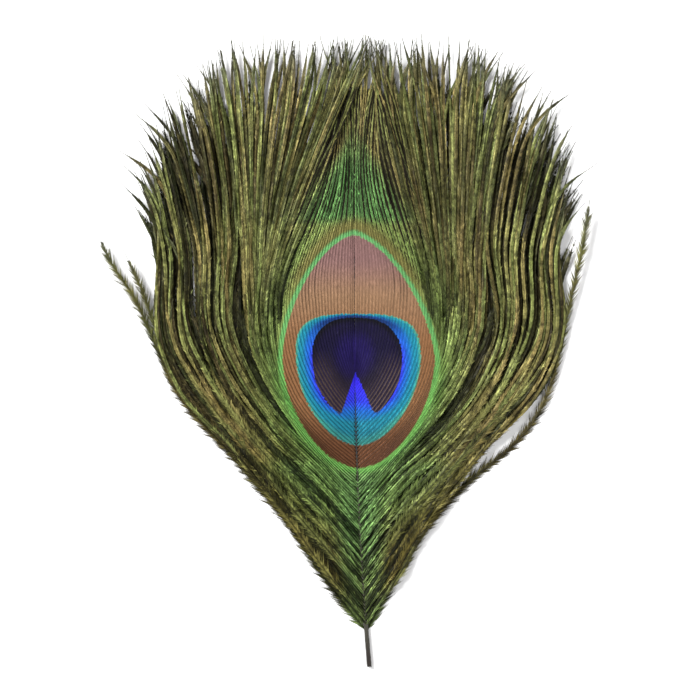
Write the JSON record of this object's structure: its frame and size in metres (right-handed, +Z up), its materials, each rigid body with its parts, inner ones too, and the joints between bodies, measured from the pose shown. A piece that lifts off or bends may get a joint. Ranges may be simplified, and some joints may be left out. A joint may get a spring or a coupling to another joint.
{
  "type": "peacock feather",
  "caption": "Trimmed eye feather of a peacock, lying face up: a short cut shaft, a close-knit eye vane round its tip and loose curved herl fanning out on both sides",
  "frame": {"origin": "on the table, under the middle of the feather's box", "axes": "+Y runs along the shaft from its cut end to the feather's tip, +X to the right as the face is looked at, +Z up, out of the face"},
  "size_m": [0.0982, 0.1271, 0.0033],
  "materials": {
    "shaft": "horny feather shaft, grey-brown, low sheen",
    "eye_vane": "close-knit barbs, iridescent: indigo heart, blue and teal ring, copper oval, green rim",
    "herl": "loose bronze-green barbs with a soft iridescent sheen"
  },
  "bodies": {
    "root": {"shaft": "shaft", "left_eye_vane": "eye_vane", "right_eye_vane": "eye_vane", "left_herl": "herl", "right_herl": "herl", "left_stray_barb_long": "herl", "left_stray_barb_short": "herl", "right_stray_barb": "herl"}
  },
  "joints": []
}
